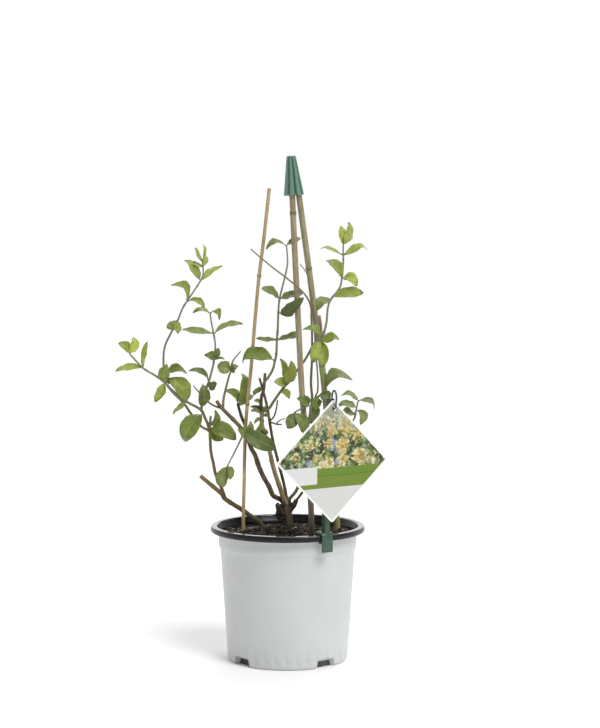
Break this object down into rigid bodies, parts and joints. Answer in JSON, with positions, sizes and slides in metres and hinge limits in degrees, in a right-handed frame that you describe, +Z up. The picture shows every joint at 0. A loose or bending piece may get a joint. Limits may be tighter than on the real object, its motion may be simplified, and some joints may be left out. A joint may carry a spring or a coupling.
{
  "type": "potted honeysuckle vine",
  "caption": "Young climbing honeysuckle with leafy twining stems on bamboo canes in a round nursery pot, with a cane cap and a plain plant tag on a rim clip.",
  "frame": {"origin": "middle of the pot's flat base, on the surface it stands on", "axes": "+Z up, the front that shows the tag faces -Y"},
  "size_m": [0.2881, 0.1859, 0.5407],
  "materials": {
    "pot_plastic": "white outside and black inside, satin",
    "potting_mix": "loose dark bark and peat mix",
    "bamboo": "weathered split cane",
    "cap_plastic": "satin moulded",
    "old_wood": "rough flaking bark",
    "leafy_growth": "soft leaves, satin upper side",
    "tag_plastic": "printed plastic sheet",
    "holder_plastic": "satin moulded"
  },
  "bodies": {
    "root": {"pot": "pot_plastic", "soil": "potting_mix", "cane_front": "bamboo", "cane_right": "bamboo", "cane_left": "bamboo", "cane_short": "bamboo", "cane_cap": "cap_plastic", "crown": "old_wood", "lying_branch": "old_wood", "stem_far_left": "leafy_growth", "stem_arching": "leafy_growth", "stem_left_centre": "leafy_growth", "stem_cut_end": "leafy_growth", "stem_tall_centre": "leafy_growth", "stem_tall_right": "leafy_growth", "stem_twining": "leafy_growth", "sprig_front_cane": "leafy_growth", "stem_behind_tag": "leafy_growth", "sprig_low_left": "leafy_growth", "tag": "tag_plastic", "tag_holder": "holder_plastic"}
  },
  "joints": []
}
